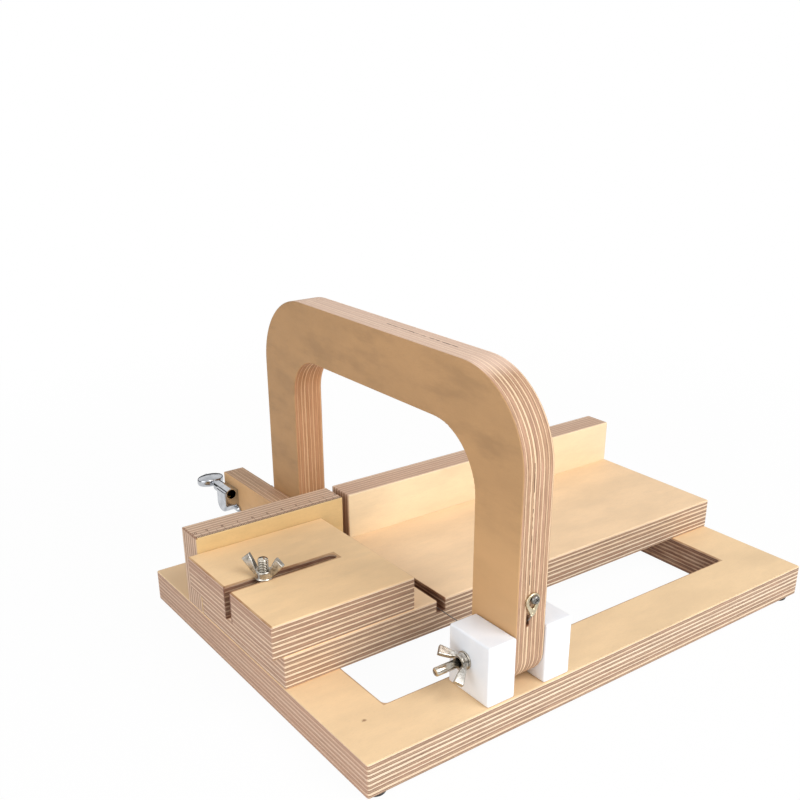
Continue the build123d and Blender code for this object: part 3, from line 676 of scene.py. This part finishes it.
for name, board in boards.items():
    dress(name, plywoodFinish(name, board, marks.get(name, {})))
plainMetals = ("zinc", "castZinc", "threadZinc", "paleNickel", "darkSteel", "chrome", "wireSteel")
finishes = {name: metalFinish(name) for name in plainMetals}
# These copies carry painted shade in the stop bolt's thread and the machine head's tube mouth
finishes["boltZincPaintedShade"] = metalFinish("threadZinc", "boltThread")
finishes["tubeChromePaintedShade"] = metalFinish("chrome", "tubeMouth")
finishes["tubeBrassPaintedShade"] = metalFinish("brass", "tubeMouth")
finishes["plastic"] = plasticFinish()
finishes["rubber"] = rubberFinish()
dressed = {
    "left_pivot_block": "plastic",
    "right_pivot_block": "plastic",
    "rubber_feet": "rubber",
    "cutting_wire": "wireSteel",
    "tuner_gear": "tubeBrassPaintedShade",
    "tuner_washer": "chrome",
    "tuner_bush": "chrome",
    "tuner_post": "chrome",
    "tuner_housing": "tubeChromePaintedShade",
    "tuner_worm": "tubeChromePaintedShade",
    "tuner_screw": "chrome",
    "button_screw": "chrome",
}
for name, finish in dressed.items():
    dress(name, finishes[finish])
print("finishes made")


def addPiece(name, shape, body, finish, replaced=(), crease=35):
    # shape is a bmesh in millimetres, in the part's frame
    limit = math.radians(crease)
    for edge in shape.edges:
        edge.smooth = edge.calc_face_angle(0) < limit
    for face in shape.faces:
        face.smooth = True
    mesh = bpy.data.meshes.new(name)
    shape.to_mesh(mesh)
    shape.free()
    mesh.transform(Matrix.Scale(0.001, 4))
    mesh.materials.append(finishes[finish])
    piece = bpy.data.objects.new(name, mesh)
    bpy.context.scene.collection.objects.link(piece)
    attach(piece, body)
    if replaced:
        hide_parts(*replaced)


# The ruler that is burnt into the fence's top. The ladder is its two long lines, with a bar for each
# millimetre between them.
ruler = {
    "zero": -65.875,
    "front": 17.325,
    "top": 72.6,
    "length": 100,
    "ladder": (0.45, 1.95),
    "ladderLength": 98.6,
    "lineWidth": 0.16,
    "barWidth": 0.42,
    "longStep": 5,
    "longReach": 4.4,
    "longWidth": 0.2,
    "digitStep": 10,
    "digitPlace": 6.6,
    "digitHeight": 2.3,
    "fontSize": 1.42,
    "nudges": {0: -1.3, 10: 2.0},
    "deep": 0.1,
    "proud": 0.02,
    "tone": (96, 58, 40),
    "deepTone": (70, 40, 28),
}


def inkFinish():
    material, place = startFinish("burntInk")
    uneven = place.cloud((2, 2, 2), 3, 0.6, 3)
    endFinish(place, {
        "Base Color": uneven.rise(0.3, 0.7).between(tone(*ruler["tone"]), tone(*ruler["deepTone"])),
        "Roughness": uneven * 0.2 + 0.6,
    })
    return material


def addBlock(shape, low, high):
    made = bmesh.ops.create_cube(shape, size=1)["verts"]
    centre = [(a + b) / 2 for a, b in zip(low, high)]
    bmesh.ops.scale(shape, vec=[b - a for a, b in zip(low, high)], verts=made)
    bmesh.ops.translate(shape, vec=centre, verts=made)


def addDigits(shape, words, place, thickness):
    text = bpy.data.curves.new("digits", "FONT")
    text.body = words
    text.size = ruler["digitHeight"] * ruler["fontSize"]
    text.align_x = "CENTER"
    text.align_y = "CENTER"
    text.extrude = thickness / 2
    holder = bpy.data.objects.new("digits", text)
    bpy.context.scene.collection.objects.link(holder)
    mesh = bpy.data.meshes.new_from_object(holder)
    mesh.transform(Matrix.Translation(place))
    shape.from_mesh(mesh)
    bpy.data.objects.remove(holder)
    bpy.data.curves.remove(text)
    bpy.data.meshes.remove(mesh)


def rulerMarks():
    shape = bmesh.new()
    zero, front, length = ruler["zero"], ruler["front"], ruler["length"]
    deep, proud = ruler["top"] - ruler["deep"], ruler["top"] + ruler["proud"]

    def bar(middle, width, first, last):
        addBlock(shape, (middle - width / 2, front + first, deep), (middle + width / 2, front + last, proud))

    first, last = ruler["ladder"]
    half = ruler["lineWidth"] / 2
    for line in (first, last):
        bar(zero - length / 2, ruler["ladderLength"], line - half, line + half)
    for count in range(1, length):
        bar(zero - count, ruler["barWidth"], first, last)
    for count in range(ruler["longStep"], length, ruler["longStep"]):
        bar(zero - count, ruler["longWidth"], last, ruler["longReach"])
    for count in range(length // ruler["digitStep"] + 1):
        middle = zero - count * ruler["digitStep"] + ruler["nudges"].get(count, 0)
        addDigits(shape, str(count), (middle, front + ruler["digitPlace"], (proud + deep) / 2), proud - deep)
    return shape


finishes["ink"] = inkFinish()
addPiece("ruler_marks", rulerMarks(), "base", "ink")
print("ruler marked")


# Small turned, threaded and cast pieces
def seatAt(origin, along, across):
    # A place whose z runs along and whose x runs across, as a matrix
    along = Vector(along).normalized()
    across = Vector(across)
    across = (across - along * across.dot(along)).normalized()
    turn = Matrix((across, along.cross(across), along)).transposed().to_4x4()
    return Matrix.Translation(origin) @ turn


def joinRings(shape, lower, upper):
    for spot in range(len(lower)):
        beside = (spot + 1) % len(lower)
        shape.faces.new((lower[spot], lower[beside], upper[beside], upper[spot]))


def addRings(shape, rings, looped=False, closed=False):
    # Joins rings of as many points each; looped joins the last ring to the first, closed caps both ends
    made = [[shape.verts.new(point) for point in ring] for ring in rings]
    for lower, upper in zip(made, made[1:]):
        joinRings(shape, lower, upper)
    if looped:
        joinRings(shape, made[-1], made[0])
    if closed:
        shape.faces.new(list(reversed(made[0])))
        shape.faces.new(made[-1])


def turned(shape, seat, profile, count, hollow=False, reach=None):
    # Spins (radius, height) pairs about the seat's z. reach may change a radius by its angle and height.
    rings = []
    for radius, height in profile:
        ring = []
        for step in range(count):
            angle = 2 * math.pi * step / count
            far = reach(radius, angle, height) if reach else radius
            ring.append(seat @ Vector((far * math.cos(angle), far * math.sin(angle), height)))
        rings.append(ring)
    addRings(shape, rings, looped=hollow, closed=not hollow)


def threaded(shape, seat, radius, low, high, pitch, depth, tip):
    # A right-hand thread from low to high with a coned end
    rowsPerTurn, sides, steepness, crestWidth = 8, 36, 3.2, 0.25

    def crest(far, angle, height):
        part = (height / pitch - angle / (2 * math.pi)) % 1
        groove = min(1, max(0, abs(part - 0.5) * steepness - crestWidth))
        cone = radius - tip + (high - height)
        return min(radius - depth * groove * min(1, (height - low) / pitch), cone)

    rows = int((high - low) / pitch * rowsPerTurn)
    profile = [(radius, low + (high - low) * row / rows) for row in range(rows + 1)]
    turned(shape, seat, profile, sides, reach=crest)


def hexHead(shape, seat, across, height, ease):
    # A hex head behind the seat, its outer corners turned off
    def flat(far, angle, level):
        side = across / 2 / math.cos((angle % (math.pi / 3)) - math.pi / 6)
        return min(side, far)

    corner = across / 2 / math.cos(math.pi / 6)
    profile = [(across * 0.46, -height), (across * 0.49, -height), (corner, -height + ease), (corner, 0)]
    turned(shape, seat, profile, 72, reach=flat)


def crossHead(shape, seat, profile, cross, point):
    # A screw. Its profile starts at the rim of the flat top, cross is the length, width and depth of what is
    # sunk in that, and point is how far it goes into the wood.
    count = 48
    half, arm, depth = cross[0] / 2, cross[1] / 2, cross[2]
    outline = [
        (half, -arm), (half, arm), (arm, arm), (arm, half), (-arm, half), (-arm, arm),
        (-half, arm), (-half, -arm), (-arm, -arm), (-arm, -half), (arm, -half), (arm, -arm),
    ]

    def ringAt(radius, height):
        return [shape.verts.new(seat @ Vector((radius * x, radius * y, height))) for x, y in circle(count)]

    top = profile[0][1]
    last = ringAt(*profile[0])
    mouth = [shape.verts.new(seat @ Vector((x, y, top))) for x, y in outline]
    base = [shape.verts.new(seat @ Vector((x * 0.55, y * 0.55, top + depth))) for x, y in outline]
    joinRings(shape, base, mouth)
    shape.faces.new(base)
    edges = [shape.edges.new((last[spot], last[(spot + 1) % count])) for spot in range(count)]
    edges += [shape.edges.get((mouth[spot], mouth[(spot + 1) % len(mouth)])) for spot in range(len(mouth))]
    bmesh.ops.triangle_fill(shape, use_beauty=True, edges=edges)
    for radius, height in profile[1:]:
        ring = ringAt(radius, height)
        joinRings(shape, last, ring)
        last = ring
    tip = shape.verts.new(seat @ Vector((0, 0, point)))
    for spot in range(count):
        shape.faces.new((last[spot], last[(spot + 1) % count], tip))


def cast(name, shape, voxel, soften):
    # Melts overlapping closed shells into one skin and softens it, as a casting
    mesh = bpy.data.meshes.new(name)
    bmesh.ops.recalc_face_normals(shape, faces=shape.faces)
    shape.to_mesh(mesh)
    shape.free()
    holder = bpy.data.objects.new(name, mesh)
    bpy.context.scene.collection.objects.link(holder)
    melt = holder.modifiers.new("melt", "REMESH")
    melt.mode = "VOXEL"
    melt.voxel_size = voxel
    smooth = holder.modifiers.new("soften", "SMOOTH")
    smooth.factor = 0.5
    smooth.iterations = soften
    seen = holder.evaluated_get(bpy.context.evaluated_depsgraph_get())
    melted = bmesh.new()
    melted.from_mesh(seen.to_mesh())
    seen.to_mesh_clear()
    bpy.data.objects.remove(holder)
    bpy.data.meshes.remove(mesh)
    return melted


# The stop's bolt, six millimetres
stopBolt = {
    "place": (-149.175, -31.475, 27), "radius": 3, "length": 48, "threadFrom": 14, "pitch": 1, "depth": 0.5,
    "tip": 0.5, "shankRadius": 2.9, "headAcross": 10, "headHeight": 4, "headEase": 0.6,
}


def addStopBolt():
    shape = bmesh.new()
    seat = seatAt(stopBolt["place"], (0, 0, 1), (1, 0, 0))
    start, shank = stopBolt["threadFrom"], stopBolt["shankRadius"]
    length, pitch, depth = stopBolt["length"], stopBolt["pitch"], stopBolt["depth"]
    hexHead(shape, seat, stopBolt["headAcross"], stopBolt["headHeight"], stopBolt["headEase"])
    turned(shape, seat, [(shank, 0), (shank, start + 0.2)], 36)
    threaded(shape, seat, stopBolt["radius"], start, length, pitch, depth, stopBolt["tip"])
    addPiece("stop_bolt_turned", shape, "base", "boltZincPaintedShade", ["stop_bolt"], 40)


# The pivot's bolt, five millimetres, with a smooth turned end
pivotBolt = {
    "place": (-35.325, -136.275, 42.6), "radius": 2.5, "length": 76, "tip": 0.6, "headAcross": 8,
    "headHeight": 3.5, "headEase": 0.5, "threadFrom": 46, "threadTo": 60.6, "pitch": 0.8, "depth": 0.32,
    "threadTip": 0.3, "shankRadius": 2.45, "endRadius": 2.4,
}


def addPivotBolt():
    shape = bmesh.new()
    start, until, pitch = pivotBolt["threadFrom"], pivotBolt["threadTo"], pivotBolt["pitch"]
    length, tip, depth = pivotBolt["length"], pivotBolt["tip"], pivotBolt["depth"]
    shank, end = pivotBolt["shankRadius"], pivotBolt["endRadius"]
    seat = seatAt(pivotBolt["place"], (-1, 0, 0), (0, 1, 0))
    hexHead(shape, seat, pivotBolt["headAcross"], pivotBolt["headHeight"], pivotBolt["headEase"])
    turned(shape, seat, [(shank, 0), (shank, start + 0.1)], 40)
    threaded(shape, seat, pivotBolt["radius"], start, until, pitch, depth, pivotBolt["threadTip"])
    turned(shape, seat, [
        (end, until - 0.5), (end, length - tip), (end - 0.12, length - tip * 0.6),
        (end - tip * 0.8, length - 0.04), (end - tip, length),
    ], 48)
    addPiece("pivot_bolt_turned", shape, "base", "threadZinc", ["pivot_bolt"], 40)


washer = {"face": -91.925, "radius": 5, "hole": 2.62, "thickness": 1, "ease": 0.14}


def addPivotWasher():
    shape = bmesh.new()
    seat = seatAt((washer["face"], *pivotBolt["place"][1:]), (-1, 0, 0), (0, 1, 0))
    radius, hole, thick, ease = [washer[name] for name in ("radius", "hole", "thickness", "ease")]
    turned(shape, seat, [
        (hole, 0.02), (radius - ease, 0.02), (radius, ease), (radius, thick - ease), (radius - ease, thick),
        (hole + ease, thick), (hole, thick - ease),
    ], 64, hollow=True)
    addPiece("pivot_washer_turned", shape, "base", "zinc", ["pivot_washer"], 30)


# The cast wing nuts, the pivot's a little smaller than the stop's; form changes a value for one nut
wingNut = {
    "baseRadius": 5.15, "topRadius": 4.6, "height": 4.95, "rim": 0.7, "waist": 4.75,
    "rootDepth": 1, "rootHeight": 2.6, "tipRadius": 10.85, "tipHeight": 11.6,
    "breadth": 6.1, "rootBreadth": 4, "thickness": 2.9, "lean": 48, "voxel": 0.17, "soften": 4,
}
nutPlaces = {
    "stop_wing_nut": {
        "place": (-149.175, -31.475, 63.3), "along": (0, 0, 1), "turn": 120.5, "scale": 1, "hole": 3.12,
        "body": "stop_nut", "form": {},
    },
    "pivot_wing_nut": {
        "place": (-93.225, -136.275, 42.6), "along": (-1, 0, 0), "turn": 37, "scale": 0.93, "hole": 2.62,
        "body": "pivot_nut", "form": {"height": 3.7, "tipHeight": 10.3},
    },
}
# A wing's section with its corners cut, in parts of its half breadth and half thickness
wingSection = ((-1, -0.7), (-0.86, -1), (0.86, -1), (1, -0.7), (1, 0.7), (0.86, 1), (-0.86, 1), (-1, 0.7))


def hubProfile(form, hole):
    base, top, waist = form["baseRadius"], form["topRadius"], form["waist"]
    height, rim = form["height"], form["rim"]
    return [
        (hole, 0), (base - 0.15, 0), (base, 0.2), (base, rim - 0.2), (base - 0.25, rim), (waist, rim + 0.5),
        (waist, height - 1), (top, height - 0.35), (top - 0.3, height), (hole + 0.2, height),
        (hole, height - 0.2),
    ]


def wingRings(form, hole, seat, side):
    # From the root in the hub's wall out to the square tip
    root, low = form["rootDepth"], form["rootHeight"]
    lean = math.radians(form["lean"])
    rings = []
    for share in [step / 10 for step in range(11)]:
        across = hole + root + share * (form["tipRadius"] - hole - root)
        middle = Vector((across, 0, low + share * (form["tipHeight"] - low)))
        ease = share ** 0.7
        half = (form["rootBreadth"] + (form["breadth"] - form["rootBreadth"]) * ease) / 2
        thick = form["thickness"] / 2 * (1.12 - 0.12 * share)
        wide = Vector((-math.sin(lean * ease), 0, math.cos(lean * ease))) * half
        deep = Vector((0, thick, 0))
        points = [middle + wide * a + deep * b for a, b in wingSection]
        rings.append([seat @ Vector((point.x * side, point.y * side, point.z)) for point in points])
    return rings


def addWingNut(name, values):
    shape = bmesh.new()
    form = {**wingNut, **values["form"]}
    turn = math.radians(values["turn"])
    along = Vector(values["along"])
    if along.z:
        first, second = Vector((1, 0, 0)), Vector((0, 1, 0))
    else:
        first, second = Vector((0, 1, 0)), Vector((0, 0, 1))
    across = first * math.cos(turn) + second * math.sin(turn)
    seat = seatAt(values["place"], along, across) @ Matrix.Scale(values["scale"], 4)
    hole = values["hole"] / values["scale"]
    turned(shape, seat, hubProfile(form, hole), 64, hollow=True)
    for side in (1, -1):
        addRings(shape, wingRings(form, hole, seat, side), closed=True)
    melted = cast(name, shape, form["voxel"], form["soften"])
    addPiece(name + "_cast", melted, values["body"], "castZinc", [name], 80)


# The anchor on the leg's front edge: an egg-shaped loop with a crimped barrel, and its screw
anchor = {
    "face": -153.775, "middle": (-63.975, 75.7), "radius": 4.66, "tipReach": 6.5, "tipRadius": 1.76,
    "holeRadius": 2.82, "holeReach": 3.1, "holeTip": 0.92, "thickness": 1.48, "round": 0.62, "steps": 96,
    "barrelLean": 38, "barrelRadius": 0.9, "barrelHole": 0.4, "barrelLength": 1.9, "barrelDeep": 1.0,
    "crimp": 0.84,
}
anchorScrew = {
    "middle": (-63.625, 77), "across": (0.9, 0, 0.44), "head": 2.48, "height": 1.78, "flat": 1.62,
    "shank": 1.38, "shankLength": 14, "length": 17.9, "cross": (2.7, 0.62, 0.85),
}


def eggPoint(angle, radius, reach, tip):
    # On the outline of two circles and their flanks, the small one below the big one
    tilt = math.asin((radius - tip) / reach)
    x, y = math.sin(angle), math.cos(angle)
    flank = math.cos(tilt), -math.sin(tilt)
    if y >= flank[1]:
        return x * radius, y * radius
    turn = math.acos(max(-1, min(1, y)))
    side = 1 if x >= 0 else -1
    share = (turn - (math.pi / 2 + tilt)) / (math.pi / 2 - tilt)
    if share < 0.5:
        along = share / 0.5
        upper = (radius * flank[0], radius * flank[1])
        lower = (tip * flank[0], tip * flank[1] - reach)
        return side * (upper[0] + (lower[0] - upper[0]) * along), upper[1] + (lower[1] - upper[1]) * along
    swing = math.pi / 2 + tilt + (share - 0.5) / 0.5 * (math.pi / 2 - tilt)
    return side * tip * math.sin(swing), tip * math.cos(swing) - reach


def addAnchorLoop():
    shape = bmesh.new()
    x, z = anchor["middle"]
    soft, thick, face = anchor["round"], anchor["thickness"], anchor["face"]
    rings = []
    for step in range(anchor["steps"]):
        angle = 2 * math.pi * step / anchor["steps"]
        outer = Vector(eggPoint(angle, anchor["radius"], anchor["tipReach"], anchor["tipRadius"]))
        inner = Vector(eggPoint(angle, anchor["holeRadius"], anchor["holeReach"], anchor["holeTip"]))
        way = (outer - inner).normalized()
        width = (outer - inner).length
        section = [
            (0, 0.02), (0, thick - soft), (soft * 0.3, thick - soft * 0.3), (soft, thick),
            (width * 0.5, thick + 0.01), (width - soft, thick), (width - soft * 0.3, thick - soft * 0.3),
            (width, thick - soft), (width, 0.02),
        ]
        ring = []
        for inset, deep in section:
            spot = outer - way * inset
            ring.append(Vector((x + spot.x, face - deep, z + spot.y)))
        rings.append(ring)
    addRings(shape, rings, looped=True)
    lean = math.radians(anchor["barrelLean"])
    low = (x, face - anchor["barrelDeep"], z - anchor["tipReach"])
    seat = seatAt(low, (-math.sin(lean), 0, -math.cos(lean)), (0, 1, 0))
    radius, hole, length = anchor["barrelRadius"], anchor["barrelHole"], anchor["barrelLength"]
    crimped = radius * anchor["crimp"]
    turned(shape, seat, [
        (hole, 0), (radius, 0), (radius, length * 0.35), (crimped, length * 0.5), (crimped, length * 0.75),
        (radius, length * 0.85), (radius * 0.9, length), (hole, length),
    ], 32, hollow=True)
    addPiece("anchor_loop", shape, "swing_arch", "paleNickel", ["anchor_ring"], 40)


def addAnchorScrew():
    shape = bmesh.new()
    x, z = anchorScrew["middle"]
    head, high, flat, shank = [anchorScrew[name] for name in ("head", "height", "flat", "shank")]
    seat = seatAt((x, anchor["face"] - anchor["thickness"] - 0.03, z), (0, 1, 0), anchorScrew["across"])
    profile = [
        (flat, -high), (flat + 0.35, -high * 0.93), (head * 0.9, -high * 0.62), (head, -high * 0.2),
        (head, 0), (shank, 0), (shank, anchorScrew["shankLength"]),
    ]
    crossHead(shape, seat, profile, anchorScrew["cross"], anchorScrew["length"])
    addPiece("anchor_screw_head", shape, "swing_arch", "darkSteel", ["anchor_screw"], 40)


# Countersunk wood screws by what they hold, with their way into the wood and the middles of their heads
woodScrews = {
    "bed_screws": {
        "body": "base", "way": (0, 0, 1), "length": 35,
        "heads": [(x, y, 3) for x in (-148.575, 154.825) for y in (-64.275, 1.325)],
    },
    "fence_end_screws": {
        "body": "base", "way": (0, 0, 1), "length": 50,
        "heads": [(x, 27.175, 3) for x in (-148.575, 154.825)],
    },
    "block_screws": {
        "body": "base", "way": (0, 0, 1), "length": 31,
        "heads": [(x, y, 3) for x in (-82.925, -44.325) for y in (-148.075, -130.075)],
    },
    "fence_screws": {
        "body": "base", "way": (0, -1, 0), "length": 45,
        "heads": [(x, 37.025, 33) for x in (-143.875, -87.875, -33.355, 55.375, 144.105)],
    },
    "bar_screws": {
        "body": "swing_arch", "way": (-1, 0, 0), "length": 31,
        "heads": [(-53.625, y, 47) for y in (67.225, 84.225)],
    },
}
screwForm = {
    "head": 3.86, "shank": 1.85, "flat": 3.55, "taper": 3, "cross": (3.9, 0.85, 1.3), "sunk": 0.05,
    "rim": 0.12, "pointLength": 3, "short": 0.1, "firstTurn": 0.4, "nextTurn": 0.83,
}


def addWoodScrews(name, values):
    shape = bmesh.new()
    head, shank, flat, sunk = [screwForm[part] for part in ("head", "shank", "flat", "sunk")]
    point = values["length"] - screwForm["short"]
    turn = screwForm["firstTurn"]
    for place in values["heads"]:
        turn += screwForm["nextTurn"]
        x, y = math.cos(turn), math.sin(turn)
        seat = seatAt(place, values["way"], (x, y, 0.3 if values["way"][2] else y))
        profile = [
            (flat, sunk), (head, sunk + screwForm["rim"]), (shank, screwForm["taper"]),
            (shank, point - screwForm["pointLength"]),
        ]
        crossHead(shape, seat, profile, screwForm["cross"], point)
    addPiece(name + "_turned", shape, values["body"], "zinc", [name], 35)


footScrew = {
    "head": 2.95, "height": 1.18, "flat": 1.9, "shank": 1.85, "shankLength": 9, "length": 11.9,
    "cross": (2.9, 0.7, 0.9), "nextTurn": 1.1,
    "heads": [(x, y, 1.6) for x in (-156.875, 163.125) for y in (-147.775, 77.725)],
}


def addFootScrews():
    shape = bmesh.new()
    head, high, flat, shank = [footScrew[name] for name in ("head", "height", "flat", "shank")]
    profile = [
        (flat, -high), (flat + 0.5, -high * 0.9), (head * 0.93, -high * 0.5), (head, -0.1), (head, 0),
        (shank, 0), (shank, footScrew["shankLength"]),
    ]
    for spot, place in enumerate(footScrew["heads"]):
        turn = spot * footScrew["nextTurn"]
        seat = seatAt(place, (0, 0, 1), (math.cos(turn), math.sin(turn), 0))
        crossHead(shape, seat, profile, footScrew["cross"], footScrew["length"])
    addPiece("foot_screws_turned", shape, "base", "zinc", ["foot_screws"], 35)


# The machine head's oval button
button = {"place": (-94.425, 149.425, 47.4), "half": (9.72, 6.72, 3.05), "crown": 0.35, "steps": 72}


def addButton():
    shape = bmesh.new()
    halfX, halfY, halfZ = button["half"]
    x, y, z = button["place"]
    low = halfZ - button["crown"]
    upper = [
        (0.02, halfZ), (0.35, halfZ - 0.02), (0.7, halfZ - button["crown"] * 0.4), (0.84, low),
        (0.92, low - 0.25), (0.97, low - 0.7), (1, low - 1.5),
    ]
    profile = upper + [(part, -level) for part, level in reversed(upper)]
    rings = []
    for part, level in reversed(profile):
        ring = [(x + halfX * part * a, y + halfY * part * b, z + level) for a, b in circle(button["steps"])]
        rings.append(ring)
    addRings(shape, rings, closed=True)
    addPiece("tuner_button_cast", shape, "tuner_knob", "chrome", ["tuner_button"], 40)


addStopBolt()
addPivotBolt()
addPivotWasher()
for name, values in nutPlaces.items():
    addWingNut(name, values)
addAnchorLoop()
addAnchorScrew()
for name, values in woodScrews.items():
    addWoodScrews(name, values)
addFootScrews()
addButton()
print("small pieces made")
